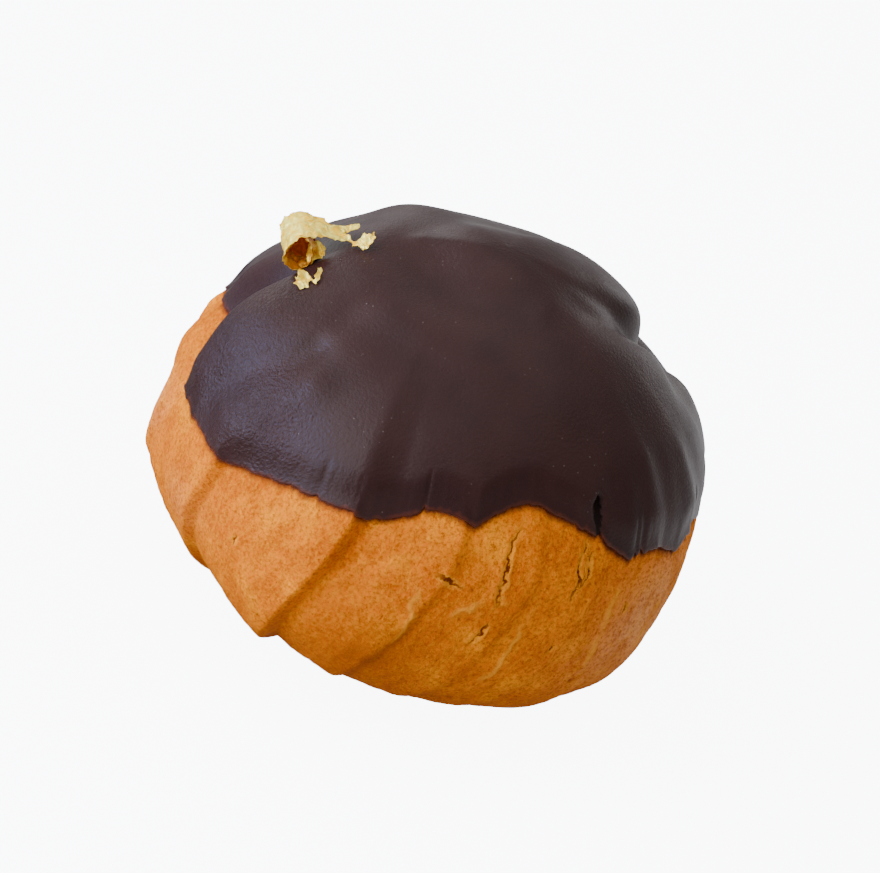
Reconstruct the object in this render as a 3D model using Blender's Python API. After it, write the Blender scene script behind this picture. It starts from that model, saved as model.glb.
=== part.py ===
"""A cream puff: a fluted choux bun dipped in dark chocolate, with two flakes of gold leaf.

The bun stands upright on its flat, baked underside. Its origin is the middle of that
underside, +Z points up through the crown and the side shown in front faces -Y.
Lengths are in millimetres and angles in degrees until the finished meshes are scaled.

Every surface is a distance from the bun's heart, a point on the axis level with its
widest part, in a direction given by an azimuth (from +X, anticlockwise seen from above)
and a polar angle (0 at the crown, 90 level with the heart). The flutes lean, so a point
also has a level azimuth: where the crease that runs through it passes the widest level.
"""

import math

import bmesh
import bpy
import numpy as np

METRES_PER_MM = 0.001

# The bun
BUN_RADIUS = 28.3  # over the flutes, at the widest level
HEART_HEIGHT = 20.3  # from the table up to the widest level
CROWN_RISE = 24.1  # from the widest level up to the crown
CROWN_FULLNESS = 1.86  # 2 is an ellipse, more is boxier
FOOT_FULLNESS = 2.65
FOOT_DROP = 20.9  # a little more than HEART_HEIGHT, so the table cuts a flat off it
FOOT_FILLET = 1.1

# The flutes left by the piping nozzle. Each crease has its azimuth at the widest level, how
# far the flute before it stands proud, and the part of that which shows in the chocolate.
CREASES = (
    (8, 0.8, 0.5), (28, 1.0, 0.6), (49, 0.8, 0.5), (71, 1.1, 0.6), (97, 0.9, 0.7),
    (121, 1.0, 0.5), (147, 0.8, 0.6), (172, 1.0, 0.6), (198, 0.7, 0.4), (229, 1.1, 0.35),
    (262, 1.8, 0.75), (284, 0.6, 0.3), (302, 0.35, 0.3), (318, 0.3, 0.3), (334, 0.7, 0.7),
    (350, 0.8, 0.6),
)
FLUTE_MEAN = 0.45  # part of a flute's height that lies inside the plain bun
LEDGE_WIDTH = 1.5  # width of the drop at a bare crease
COATED_LEDGE_WIDTH = 5.0  # the same under chocolate, which rounds it off
SWIRL_BELOW = 0.40  # degrees of azimuth a crease turns for each degree down the foot
SWIRL_ABOVE = 0.20  # the same going up to the crown, where it turns back
SWIRL_LEVEL = 80.0
SWIRL_BLEND = 8.0
BARE_FADE_START = 22.0  # polar angle where the flutes begin, going down from the crown
COATED_FADE_START = 35.0
FADE_LENGTH = 45.0
FOOT_FADE_START = 118.0
FOOT_FADE_LENGTH = 25.0
FOOT_FADE = 0.7

# The valley round the crown's top, its dip towards the front and its deep notch
VALLEY_DEPTH = 0.65
VALLEY_WIDTH = 9.0
VALLEY_LEVEL = 20.0
FRONT_DEPTH = 0.95
FRONT_AZIMUTH = 222.0
FRONT_WIDTH = 35.0
NOTCH_DEPTH = 2.6
NOTCH_AZIMUTH = 25.0
NOTCH_WIDTH = 32.0
NOTCH_FALL = 36.0
NOTCH_FALL_AZIMUTH = 36.0
NOTCH_FALL_POWER = 14.0

# The fold on the left, where one lobe leans over the next
FOLD_AZIMUTH = 198.0
FOLD_DEPTH = 3.0
FOLD_NEAR_WIDTH = 2.6
FOLD_FAR_WIDTH = 8.0
FOLD_LEVEL = 68.0
FOLD_LENGTH = 20.0

# Swellings and dents: azimuth, polar angle, spread in degrees, height
SWELLINGS = (
    (206, 62, 11, 1.2), (187, 109, 11, 1.4), (325, 114, 20, 0.9), (225, 118, 14, -0.9),
    (152, 49, 20, -1.3), (100, 34, 18, -1.2), (5, 74, 18, -0.7), (168, 70, 9, -1.1),
    (207, 112, 9, -0.5), (46, 58, 13, -1.7), (10, 52, 8, -1.3), (28, 63, 8, -0.9),
    (137, 40, 9, 0.6), (180, 84, 8, 0.7),
)

# Ridges and grooves: both ends as azimuth and polar angle, then width and height
STROKES = (
    ((186, 20), (212, 8), 1.8, 0.35), ((304, 22), (350, 17), 1.6, 0.2),
    ((225, 81), (236, 61), 2.2, 0.45), ((229, 45), (270, 46), 3.0, -0.35),
    ((276, 38), (300, 42), 4.0, 0.3),
)

# The chocolate coating, which keeps clear of the bun all over
GAP = 0.45
MOST_SLANT = 2.0
COAT_THICKNESS = 1.2
RIM_THICKNESS = 0.8
LEAST_COAT = 0.6
COAT_BLEND = 0.35
RIM_THINNING = 0.1  # part of the way up from the rim over which the coating thins

# The chocolate's lower edge: its tips as level azimuth and polar angle, and how many
# degrees it arches up before the next tip
RIM_TIPS = (
    (0, 83, 3), (23, 88, 2), (47, 89, 3), (71, 96, 4), (97, 96, 2), (121, 93, 3), (147, 93, 2),
    (160, 81, 0), (170, 76, 0), (183, 71, 0), (192, 70, 0), (199, 84.5, 0), (228, 84.6, 1.8),
    (262, 78.6, 2.8), (284, 72.9, 5.6), (309, 71.5, 0.3), (323, 78.8, 1.5), (341, 82, 2),
)

# Gold leaf lies where the chocolate is this azimuth and polar angle. Its own measures go
# uphill to the crown, back round the puff, and out of the chocolate.
LEAF_AZIMUTH = 196.5
LEAF_POLAR = 48.5
LEAF_THICKNESS = 0.4
LEAF_CLEARANCE = 0.35

# The flake is one strip, curled at its lower end and drawn out to a thin arm at its upper
# one. Each row is a place along it: uphill, out, its front edge and back edge as distances
# back, and how much further out the back edge is.
FLAKE = (
    (2.6, 2.1, -0.2, 2.6, 0.1), (1.7, 0.7, -0.3, 2.8, 0.1), (0.4, 0.1, -0.1, 3.0, 0.2),
    (-0.7, 0.9, 0.1, 3.4, 0.2), (-1.0, 2.2, 0.2, 3.8, 0.4), (-0.5, 3.3, 0.3, 4.4, 0.8),
    (0.8, 3.8, 0.3, 4.8, 1.2), (2.1, 3.6, 0.6, 4.9, 1.0), (3.4, 2.8, 1.0, 4.4, 0.7),
    (4.4, 1.6, 1.4, 4.0, 0.5), (5.2, 0.8, 1.7, 3.6, 0.3), (5.9, 0.4, 1.4, 3.2, 0.2),
    (6.6, 0.4, 0.8, 2.4, 0.5), (7.3, 0.5, 0.4, 2.2, 0.8), (8.0, 0.9, 0.6, 2.0, 0.8),
    (8.5, 1.3, 1.0, 1.8, 0.4),
)
FRAGMENT = (
    (0.2, 0.2, -3.9, -3.2, 0.5), (0.8, 0.1, -4.3, -2.6, 1.3), (1.5, 0.1, -4.2, -2.3, 1.5),
    (2.1, 0.3, -3.6, -2.9, 0.8), (2.9, 0.3, -4.0, -3.2, 0.6), (3.8, 0.6, -2.8, -2.4, 0.2),
)

# Facets
COLUMNS_PER_FLUTE = (0.0, 0.10, 0.36, 0.66, 0.90)  # closer together at the ledge
COLUMNS = len(CREASES) * len(COLUMNS_PER_FLUTE)
COAT_RINGS = 14
BUN_RINGS = 25
LAST_COAT_RING = 0.99  # part of the way from the crown to the rim
SHARP_ANGLE = 50.0


def clear_scene():
    for item in list(bpy.data.objects):
        bpy.data.objects.remove(item, do_unlink=True)


def smoothstep(value):
    value = np.clip(value, 0.0, 1.0)
    return value * value * (3.0 - 2.0 * value)


def angle_apart(first, second):
    """Signed difference of two azimuths, from -180 to 180."""
    return (first - second + 180.0) % 360.0 - 180.0


def swirl(polar):
    """Degrees that a crease has turned by this polar angle."""
    down = polar - SWIRL_LEVEL
    steady = (SWIRL_BELOW - SWIRL_ABOVE) / 2.0
    bend = (SWIRL_BELOW + SWIRL_ABOVE) / 2.0
    return -(steady * down + bend * (np.hypot(down, SWIRL_BLEND) - SWIRL_BLEND))


def flute_position(level_azimuth):
    """The flute at an azimuth, how far across it from 0 to 1, and its width in degrees."""
    starts = np.array([crease[0] for crease in CREASES], float)
    level_azimuth = (level_azimuth - starts[0]) % 360.0 + starts[0]
    index = np.searchsorted(starts, level_azimuth, side="right") - 1
    widths = np.diff(np.append(starts, starts[0] + 360.0))
    return index, (level_azimuth - starts[index]) / widths[index], widths[index]


def flute_height(azimuth, polar, coated):
    """The overlapping flutes: each rises from its crease and drops at the next one."""
    shown = np.array([crease[2] if coated else 1.0 for crease in CREASES])
    depths = np.array([crease[1] for crease in CREASES]) * shown
    index, across, width = flute_position(azimuth - swirl(polar))
    length = np.radians(width) * BUN_RADIUS
    proud, behind = depths[(index + 1) % len(CREASES)], depths[index]
    drop = COATED_LEDGE_WIDTH if coated else LEDGE_WIDTH
    before = smoothstep((1.0 - across) * length / drop + (0.5 if coated else 0.0))
    after = smoothstep(0.5 - across * length / drop) if coated else 0.0
    height = proud * across**0.9 * before + behind * after
    mean = FLUTE_MEAN * (behind + (proud - behind) * across)
    rise_start = COATED_FADE_START if coated else BARE_FADE_START
    fade = smoothstep((polar - rise_start) / FADE_LENGTH)
    fade = fade * (1.0 - FOOT_FADE * smoothstep((polar - FOOT_FADE_START) / FOOT_FADE_LENGTH))
    return (height - mean) * fade


def crown_valley(azimuth, polar):
    notch = np.exp(-((angle_apart(azimuth, NOTCH_AZIMUTH) / NOTCH_WIDTH) ** 2))
    front = np.exp(-((angle_apart(azimuth, FRONT_AZIMUTH) / FRONT_WIDTH) ** 2))
    turn = 0.5 + 0.5 * np.cos(np.radians(azimuth - NOTCH_FALL_AZIMUTH))
    level = VALLEY_LEVEL + NOTCH_FALL * turn**NOTCH_FALL_POWER
    depth = VALLEY_DEPTH + NOTCH_DEPTH * notch + FRONT_DEPTH * front
    return -depth * np.exp(-(((polar - level) / VALLEY_WIDTH) ** 2))


def left_fold(azimuth, polar):
    away = angle_apart(azimuth - swirl(polar), FOLD_AZIMUTH)
    away = away / np.where(away > 0.0, FOLD_NEAR_WIDTH, FOLD_FAR_WIDTH)
    along = (polar - FOLD_LEVEL) / FOLD_LENGTH
    return -FOLD_DEPTH * np.exp(-(away**2)) * np.exp(-(along**4))


def swellings(azimuth, polar):
    total = 0.0 * azimuth
    for centre, level, spread, height in SWELLINGS:
        sideways = angle_apart(azimuth, centre) * np.sin(np.radians(level))
        total = total + height * np.exp(-(sideways**2 + (polar - level) ** 2) / spread**2)
    return total


def on_ball(azimuth, polar):
    """Points on a ball about as wide as the bun, centred on its heart."""
    azimuth, polar = np.radians(azimuth), np.radians(polar)
    flat = BUN_RADIUS * np.sin(polar)
    level = BUN_RADIUS * np.cos(polar) + 0.0 * azimuth
    return np.stack([flat * np.cos(azimuth), flat * np.sin(azimuth), level], axis=-1)


def strokes(azimuth, polar):
    """Soft ridges and grooves, each along a straight line."""
    point = on_ball(azimuth, polar)
    total = 0.0 * azimuth
    for start, end, width, height in STROKES:
        first = on_ball(*start)
        run = on_ball(*end) - first
        along = np.clip((point - first) @ run / (run @ run), 0.0, 1.0)
        away = np.linalg.norm(point - first - along[..., None] * run, axis=-1)
        total = total + height * np.exp(-((away / width) ** 2))
    return total


def plain_radius(polar):
    """Distance from the heart to a plump round shape without its flutes."""
    sideways = np.abs(np.sin(np.radians(polar))) / BUN_RADIUS
    upwards = np.cos(np.radians(polar))
    fullness = np.where(upwards > 0, CROWN_FULLNESS, FOOT_FULLNESS)
    reach = np.abs(upwards) / np.where(upwards > 0, CROWN_RISE, FOOT_DROP)
    return (sideways**fullness + reach**fullness) ** (-1.0 / fullness)


def puff_radius(azimuth, polar, coated=False):
    return (plain_radius(polar) + flute_height(azimuth, polar, coated)
            + crown_valley(azimuth, polar) + left_fold(azimuth, polar)
            + swellings(azimuth, polar) + strokes(azimuth, polar))


def clearance(azimuth, polar):
    """The gap between bun and coating, measured towards the heart, so more on a steep side."""
    step = 0.5
    radius = puff_radius(azimuth, polar)
    down = puff_radius(azimuth, polar + step) - puff_radius(azimuth, polar - step)
    around = puff_radius(azimuth + step, polar) - puff_radius(azimuth - step, polar)
    run = 2.0 * math.radians(step) * radius
    ring = np.maximum(np.sin(np.radians(polar)), 0.1)
    steepness = (down / run) ** 2 + (around / (run * ring)) ** 2
    return GAP * np.minimum(np.sqrt(1.0 + steepness), MOST_SLANT)


def coat_radius(azimuth, polar, thickness):
    """The outside of the chocolate, which softens the flutes but always covers them."""
    soft = puff_radius(azimuth, polar, coated=True) + thickness
    least = puff_radius(azimuth, polar) + LEAST_COAT
    larger = (soft + least + np.sqrt((soft - least) ** 2 + COAT_BLEND**2)) / 2.0
    return larger + clearance(azimuth, polar)


def rim_polar(level_azimuth):
    """Polar angle of the chocolate's lower edge."""
    tips = np.array(RIM_TIPS, float)
    level_azimuth = level_azimuth % 360.0
    index = np.searchsorted(tips[:, 0], level_azimuth, side="right") - 1
    following = np.roll(tips, -1, axis=0)[index]
    width = (following[:, 0] - tips[index, 0]) % 360.0
    across = (level_azimuth - tips[index, 0]) / width
    level = tips[index, 1] + (following[:, 1] - tips[index, 1]) * smoothstep(across)
    return level - tips[index, 2] * np.sin(np.pi * across)


def place(azimuth, polar, radius):
    """Points at a distance from the heart, as x, y and z."""
    azimuth, polar = np.radians(azimuth), np.radians(polar)
    flat = radius * np.sin(polar)
    height = HEART_HEIGHT + radius * np.cos(polar)
    return np.stack([flat * np.cos(azimuth), flat * np.sin(azimuth), height], axis=-1)


def rest_on_table(points):
    """Flattens what would reach below the table, with a rounded edge round the flat."""
    height = points[:, 2] / FOOT_FILLET
    rounded = (np.clip(height, -1.0, 1.0) + 1.0) ** 2 / 4.0
    points[:, 2] = np.where(height > 1.0, height, rounded) * FOOT_FILLET
    return points


def crease_columns(turn):
    """Azimuths at the widest level for evenly spaced columns, bunched at the creases."""
    starts = [crease[0] for crease in CREASES]
    starts.append(starts[0] + 360)
    columns = [start + part * (end - start)
               for start, end in zip(starts, starts[1:]) for part in COLUMNS_PER_FLUTE]
    columns.append(starts[-1])
    return np.interp(turn % 360.0, np.arange(COLUMNS + 1) * 360.0 / COLUMNS, columns)


def coordinates(shape):
    return np.array([vertex.co[:] for vertex in shape.verts])


def finish_object(name, shape, points, material):
    """Moves the shape's points into place and makes it a named object."""
    for vertex, point in zip(shape.verts, points * METRES_PER_MM):
        vertex.co = point
    bmesh.ops.recalc_face_normals(shape, faces=shape.faces)
    bmesh.ops.triangulate(shape, faces=shape.faces, quad_method="SHORT_EDGE")
    mesh = bpy.data.meshes.new(name)
    shape.to_mesh(mesh)
    shape.free()
    mesh.shade_smooth()
    mesh.set_sharp_from_angle(angle=math.radians(SHARP_ANGLE))
    mesh.materials.append(material)
    piece = bpy.data.objects.new(name, mesh)
    bpy.context.scene.collection.objects.link(piece)
    return piece


def make_material(name, colour, roughness, metallic=0.0):
    material = bpy.data.materials.new(name)
    material.use_nodes = True
    shader = material.node_tree.nodes["Principled BSDF"]
    shader.inputs["Base Color"].default_value = (*colour, 1.0)
    shader.inputs["Roughness"].default_value = roughness
    shader.inputs["Metallic"].default_value = metallic
    return material


def make_bun():
    """The baked bun, a solid ball of columns that follow the creases."""
    shape = bmesh.new()
    bmesh.ops.create_uvsphere(shape, u_segments=COLUMNS, v_segments=BUN_RINGS, radius=1.0)
    ball = coordinates(shape)
    ring = np.arccos(np.clip(ball[:, 2], -1.0, 1.0)) / math.pi * BUN_RINGS
    level_azimuth = crease_columns(np.degrees(np.arctan2(ball[:, 1], ball[:, 0])))
    last_covered = rim_polar(level_azimuth) * LAST_COAT_RING
    below = (ring - COAT_RINGS) / (BUN_RINGS - COAT_RINGS)
    polar = np.where(below < 0.0, last_covered * ring / COAT_RINGS,
                     last_covered + (180.0 - last_covered) * below)
    azimuth = level_azimuth + swirl(polar)
    points = place(azimuth, polar, puff_radius(azimuth, polar))
    choux = make_material("baked_choux", (0.62, 0.29, 0.07), 0.55)
    return finish_object("choux_bun", shape, rest_on_table(points), choux)


def coat_profile():
    """Half of the coating's section, laid flat: part of the way to the rim, and height."""
    shares = np.linspace(0.0, LAST_COAT_RING, COAT_RINGS + 1)
    thinned = smoothstep((shares - (1.0 - RIM_THINNING)) / RIM_THINNING)
    outer = list(zip(shares, COAT_THICKNESS + (RIM_THICKNESS - COAT_THICKNESS) * thinned))
    edge = RIM_THICKNESS / 2.0
    rim = [(LAST_COAT_RING + (1.0 - LAST_COAT_RING) * math.cos(angle),
            edge * (1.0 + math.sin(angle)))
           for angle in (math.pi / 4, 0.0, -math.pi / 4)]
    inner = [(share, 0.0) for share in shares[::-1]]
    return outer + rim + inner


def make_coating():
    """The chocolate: a thin disc turned from its section, then draped over the bun."""
    shape = bmesh.new()
    verts = [shape.verts.new((share, 0.0, height)) for share, height in coat_profile()]
    edges = [shape.edges.new(pair) for pair in zip(verts, verts[1:])]
    bmesh.ops.spin(shape, geom=verts + edges, cent=(0, 0, 0), axis=(0, 0, 1),
                   angle=math.tau, steps=COLUMNS, use_merge=True, use_duplicate=False)
    bmesh.ops.remove_doubles(shape, verts=shape.verts, dist=1e-5)
    disc = coordinates(shape)
    level_azimuth = crease_columns(np.degrees(np.arctan2(disc[:, 1], disc[:, 0])))
    polar = np.hypot(disc[:, 0], disc[:, 1]) * rim_polar(level_azimuth)
    azimuth = level_azimuth + swirl(polar)
    outer = coat_radius(azimuth, polar, disc[:, 2])
    inner = puff_radius(azimuth, polar) + clearance(azimuth, polar) + disc[:, 2]
    radius = np.where(disc[:, 2] > RIM_THICKNESS / 2.0, outer, inner)
    chocolate = make_material("dark_chocolate", (0.040, 0.022, 0.019), 0.35)
    return finish_object("chocolate_coating", shape, place(azimuth, polar, radius), chocolate)


def through_rows(rows, share):
    """A smooth run through the rows, at shares of its length from 0 to 1."""
    rows = np.array(rows, float)
    spot = share * (len(rows) - 1)
    index = np.minimum(spot.astype(int), len(rows) - 2)
    part = (spot - index)[:, None]
    before, first = rows[np.maximum(index - 1, 0)], rows[index]
    second, after = rows[index + 1], rows[np.minimum(index + 2, len(rows) - 1)]
    bend = 2.0 * before - 5.0 * first + 4.0 * second - after
    twist = 3.0 * (first - second) + after - before
    return first + 0.5 * part * (second - before + part * (bend + part * twist))


def on_chocolate(uphill, back, out):
    """Points measured from the leaf's spot on the chocolate, as x, y and z."""
    spot = np.array([LEAF_AZIMUTH]), np.array([LEAF_POLAR])
    reach = coat_radius(*spot, COAT_THICKNESS)[0]
    polar = LEAF_POLAR - np.degrees(uphill / reach)
    azimuth = LEAF_AZIMUTH - np.degrees(back / (reach * math.sin(math.radians(LEAF_POLAR))))
    return place(azimuth, polar, coat_radius(azimuth, polar, COAT_THICKNESS) + out)


def make_leaf(name, rows, along_steps, across_steps, material):
    """A curled flake of leaf, as thick on each side of its middle."""
    shape = bmesh.new()
    bmesh.ops.create_grid(shape, x_segments=along_steps, y_segments=across_steps, size=0.5)
    sheet = coordinates(shape) + 0.5
    uphill, out, front, back, rise = through_rows(rows, sheet[:, 0]).T
    across = sheet[:, 1]
    out = np.maximum(out + rise * across**1.5, 0.0) + LEAF_CLEARANCE + LEAF_THICKNESS / 2.0
    points = on_chocolate(uphill, front + (back - front) * across, out)
    leaf = finish_object(name, shape, points, material)
    wall = leaf.modifiers.new("Thickness", "SOLIDIFY")
    wall.thickness = LEAF_THICKNESS * METRES_PER_MM
    wall.offset = 0.0
    return leaf


def main():
    clear_scene()
    make_bun()
    make_coating()
    gold = make_material("gold_leaf", (0.90, 0.66, 0.24), 0.25, 1.0)
    make_leaf("gold_leaf", FLAKE, 30, 5, gold)
    make_leaf("gold_leaf_fragment", FRAGMENT, 14, 3, gold)


main()
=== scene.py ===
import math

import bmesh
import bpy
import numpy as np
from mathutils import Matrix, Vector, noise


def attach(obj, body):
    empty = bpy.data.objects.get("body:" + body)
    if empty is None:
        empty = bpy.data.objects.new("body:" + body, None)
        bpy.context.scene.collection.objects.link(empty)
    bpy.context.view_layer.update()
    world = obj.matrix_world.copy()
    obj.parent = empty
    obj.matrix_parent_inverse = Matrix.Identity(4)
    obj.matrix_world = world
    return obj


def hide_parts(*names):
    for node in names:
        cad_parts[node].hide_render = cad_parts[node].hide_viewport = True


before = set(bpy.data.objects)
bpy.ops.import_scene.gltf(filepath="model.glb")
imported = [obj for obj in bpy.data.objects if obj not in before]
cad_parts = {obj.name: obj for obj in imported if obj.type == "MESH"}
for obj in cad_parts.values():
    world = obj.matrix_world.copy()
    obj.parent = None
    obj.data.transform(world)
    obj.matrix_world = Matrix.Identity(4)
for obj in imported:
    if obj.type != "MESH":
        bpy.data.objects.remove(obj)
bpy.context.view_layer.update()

# A chocolate-dipped cream puff: a baked choux crust with its piped flutes, a cap of dark
# chocolate that has run down and set in scallops, and crumpled gold leaf near the crown.
#
# Lengths are in millimetres and angles in degrees until the finished meshes are scaled.
# The form is a distance from the puff's heart, a point on its axis level with the widest
# part, in a direction given by an azimuth (from +X, anticlockwise seen from above) and a
# polar angle (0 at the crown, 90 level with the heart). The flutes lean, so a point also
# has a level azimuth: where the crease that runs through it passes the widest level.

METRES_PER_MM = 0.001

# ---------------------------------------------------------------- the puff's form

BUN_RADIUS = 28.3
MM_PER_DEGREE = math.radians(BUN_RADIUS)
HEART_HEIGHT = 20.3
CROWN_RISE = 24.1
CROWN_FULLNESS = 1.86
FOOT_FULLNESS = 2.65
FOOT_DROP = 20.9
FOOT_FILLET = 1.1

# Creases between the flutes: azimuth at the widest level, how far the flute before it
# stands proud there, and the part of that which still shows through the chocolate
CREASES = (
    (8, 0.8, 0.5), (28, 1.0, 0.6), (49, 0.8, 0.5), (71, 1.1, 0.6), (97, 0.9, 0.7),
    (121, 1.0, 0.5), (147, 0.8, 0.6), (172, 1.0, 0.6), (198, 0.7, 0.4), (229, 1.1, 0.35),
    (262, 1.8, 0.75), (284, 0.6, 0.3), (302, 0.35, 0.3), (318, 0.3, 0.3), (334, 0.7, 0.7),
    (350, 0.8, 0.6),
)
FLUTE_MEAN = 0.45
FLUTE_BULGE = 0.9
LEDGE_WIDTH = 1.5
COATED_LEDGE_WIDTH = 5.0
# The polar angles over which the flutes rise below the crown, and fade towards the foot
FLUTE_START = 22.0
COATED_FLUTE_START = 35.0
FLUTE_RISE = 45.0
FLUTE_FADE_START = 118.0
FLUTE_FADE_LENGTH = 25.0
FLUTE_FADE = 0.7
SWIRL_BELOW = 0.40
SWIRL_ABOVE = 0.20
SWIRL_LEVEL = 80.0
SWIRL_BLEND = 8.0

# The valley round the crown's top, its deep notch and its shallow dip towards the front
VALLEY_DEPTH = 0.65
VALLEY_WIDTH = 9.0
VALLEY_LEVEL = 20.0
FRONT_DEPTH = 0.95
FRONT_AZIMUTH = 222.0
FRONT_WIDTH = 35.0
NOTCH_DEPTH = 2.6
NOTCH_AZIMUTH = 25.0
NOTCH_WIDTH = 32.0
NOTCH_FALL = 36.0
NOTCH_FALL_AZIMUTH = 36.0
NOTCH_FALL_POWER = 14.0

FOLD_AZIMUTH = 198.0
FOLD_DEPTH = 3.0
FOLD_NEAR_WIDTH = 2.6
FOLD_FAR_WIDTH = 8.0
FOLD_LEVEL = 68.0
FOLD_LENGTH = 20.0

# Swellings and dents: azimuth, polar angle, spread in degrees, height
SWELLINGS = (
    (206, 62, 11, 1.2), (187, 109, 11, 1.4), (325, 114, 20, 0.9), (225, 118, 14, -0.9),
    (152, 49, 20, -1.3), (100, 34, 18, -1.2), (5, 74, 18, -0.7), (168, 70, 9, -1.1),
    (207, 112, 9, -0.5), (46, 58, 13, -1.7), (10, 52, 8, -1.3), (28, 63, 8, -0.9),
    (137, 40, 9, 0.6), (180, 84, 8, 0.7),
)

# Ridges and grooves: both ends as azimuth and polar angle, then width and height
STROKES = (
    ((186, 20), (212, 8), 1.8, 0.35), ((304, 22), (350, 17), 1.6, 0.2),
    ((225, 81), (236, 61), 2.2, 0.45), ((229, 45), (270, 46), 3.0, -0.35),
    ((276, 38), (300, 42), 4.0, 0.3),
)
# The same where the chocolate alone ran down and set
RUNS = (
    ((329, 58), (328, 76), 1.0, 0.09), ((334, 60), (334, 78), 1.2, -0.10),
    ((316, 62), (315, 74), 1.2, -0.14), ((322, 64), (321, 78), 0.8, 0.08),
    ((346, 62), (346, 80), 1.4, 0.08), ((340, 66), (341, 80), 0.9, -0.05),
    ((215, 77), (228, 55), 2.0, -0.5),
)
# A slit torn in the chocolate above a fissure of the crust
SLITS = (
    ((312.9, 64.4), (312.7, 66.0), 0.35, 0.9), ((312.5, 66.2), (312.8, 68.6), 0.62, 1.0),
    ((312.9, 69.0), (313.6, 74.0), 0.42, 0.9),
)
SLIT_DEPTH = 0.95
# Where the chocolate pooled and its surface drew smooth beside the crown's notch, and how
# many degrees away and in how many directions it is averaged there
POOLED = ((352, 25, 13, 1.0),)
POOL_SPREAD = 6.0
POOL_DIRECTIONS = 8

# The chocolate's lower edge: its tips as level azimuth and polar angle, and how many
# degrees it arches up before the next tip
RIM_TIPS = (
    (0, 83, 3), (23, 88, 2), (47, 89, 3), (71, 96, 4), (97, 96, 2), (121, 93, 3), (147, 93, 2),
    (160, 81, 0), (170, 76, 0), (183, 71, 0), (192, 70, 0), (199, 84.5, 0), (228, 84.6, 1.8),
    (262, 78.6, 2.8), (284, 72.9, 5.6), (309, 71.5, 0.3), (323, 78.8, 1.5), (341, 82, 2),
)
# Nicks where it tore or missed a ridge of the crust: level azimuth, height and width
RIM_GAPS = (
    (208, 0.5, 0.3), (250.3, 0.3, 0.3), (272.3, 0.6, 0.2), (314.0, 0.9, 0.3), (325.8, 1.0, 0.25),
    (323.9, 0.9, 0.2), (351, 1.2, 0.3), (18, 1.4, 0.3), (64, 1.0, 0.3), (104, 1.2, 0.3),
    (139, 1.6, 0.25), (163, 0.9, 0.3),
)
GAP_TAPER = 1.4
COAT_THICKNESS = 1.2
RIM_THICKNESS = 0.30
RIM_THINNING = 4.5
RIM_ROUNDING = 0.25
RIM_EVENNESS = 0.3
LEAST_COAT = 0.28
COAT_BLEND = 0.35
COAT_SINKS = 0.2

# Fissures baked into the crust and raised veins of it, each through points given as level
# azimuth and polar angle
FISSURES = (
    ((295.3, 71.5), (292.8, 75.1), (292.5, 82.1), (293.9, 85.6), (295.6, 89.1)),
    ((296.0, 92.5), (296.2, 95.5), (295.6, 98.6)),
    ((279.8, 84.3), (282.5, 84.9), (286.5, 86.2)),
    ((311.4, 73.0), (310.1, 76.4), (309.4, 79.8), (310.6, 82.8), (310.1, 87.0)),
    ((313.0, 76.0), (311.9, 79.0), (312.3, 81.5), (311.2, 84.0)),
    ((327.8, 89.3), (327.6, 92.0)),
    ((313.6, 97.6), (314.3, 99.4)),
    ((19.0, 92.0), (20.5, 99.0), (19.5, 104.0)),
    ((84.0, 100.0), (86.5, 107.0), (85.5, 113.0)),
    ((133.0, 97.0), (136.5, 99.5)),
    ((158.0, 92.0), (159.5, 99.0)),
    ((241.0, 97.0), (242.0, 99.5)),
)
VEINS = (
    ((302.1, 83.5), (303.8, 93.5), (306.3, 105.3), (305.0, 112.0)),
    ((321.6, 83.7), (322.3, 89.9), (324.5, 97.2), (328.4, 107.2)),
    ((342.6, 92.0), (341.9, 100.0), (343.1, 108.4)),
    ((277.6, 88.0), (281.2, 95.0), (282.6, 101.0), (281.0, 108.0)),
    ((291.9, 85.5), (290.4, 90.2), (287.0, 93.0)),
    ((331.0, 82.0), (332.5, 90.0)),
    ((10.0, 90.0), (12.0, 104.0), (11.0, 116.0)),
    ((37.0, 93.0), (38.0, 108.0)),
    ((59.0, 95.0), (61.0, 112.0)),
    ((90.0, 102.0), (92.0, 118.0)),
    ((112.0, 99.0), (114.0, 115.0)),
    ((140.0, 97.0), (139.0, 112.0)),
    ((181.0, 84.0), (183.0, 101.0)),
)
VEIN_WIDTH = 0.25
VEIN_HEIGHT = 0.14
VEIN_WANDER = 0.6
VEIN_TAPER = 0.5
VEIN_SHOWS = 0.7
FISSURE_REACH = 1.6
FISSURE_WANDER = 0.5
FISSURE_TAPER = 0.4
FURROW_DEPTH = 0.15
FURROW_WIDTH = 0.20
LIP_HEIGHT = 0.13
LIP_PLACE = 0.45
LIP_WIDTH = 0.22

PORES = 120
PORE_LEVELS = (76.0, 132.0)
LEAST_PORE = 0.16
PORE_SPREAD = 0.30
PORE_DEPTH = 0.5  # of its radius
PORE_SEED = 7

# Unevenness as layers of smooth noise: height, size and seed
RIM_RIPPLES = ((0.40, 3.1, 1), (0.24, 1.3, 2), (0.16, 0.6, 3))
CRUST_RIPPLES = ((0.22, 7.0, 4), (0.10, 2.8, 5), (0.035, 0.6, 7))
FLOWING_RIPPLES = ((0.070, 1.1, 6),)
RIB_RIPPLES = ((0.09, 1.7, 8),)
COAT_RIPPLES = ((0.10, 9.0, 11), (0.035, 3.5, 12))
WANDER = ((1.0, 1.4, 9),)
VEIN_BREAKS = ((1.2, 3.0, 10),)
# How much longer the crust's flowing marks are than wide, and its ribs again
FLOW_STRETCH = 1.8
RIB_STRETCH = 0.3

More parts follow.
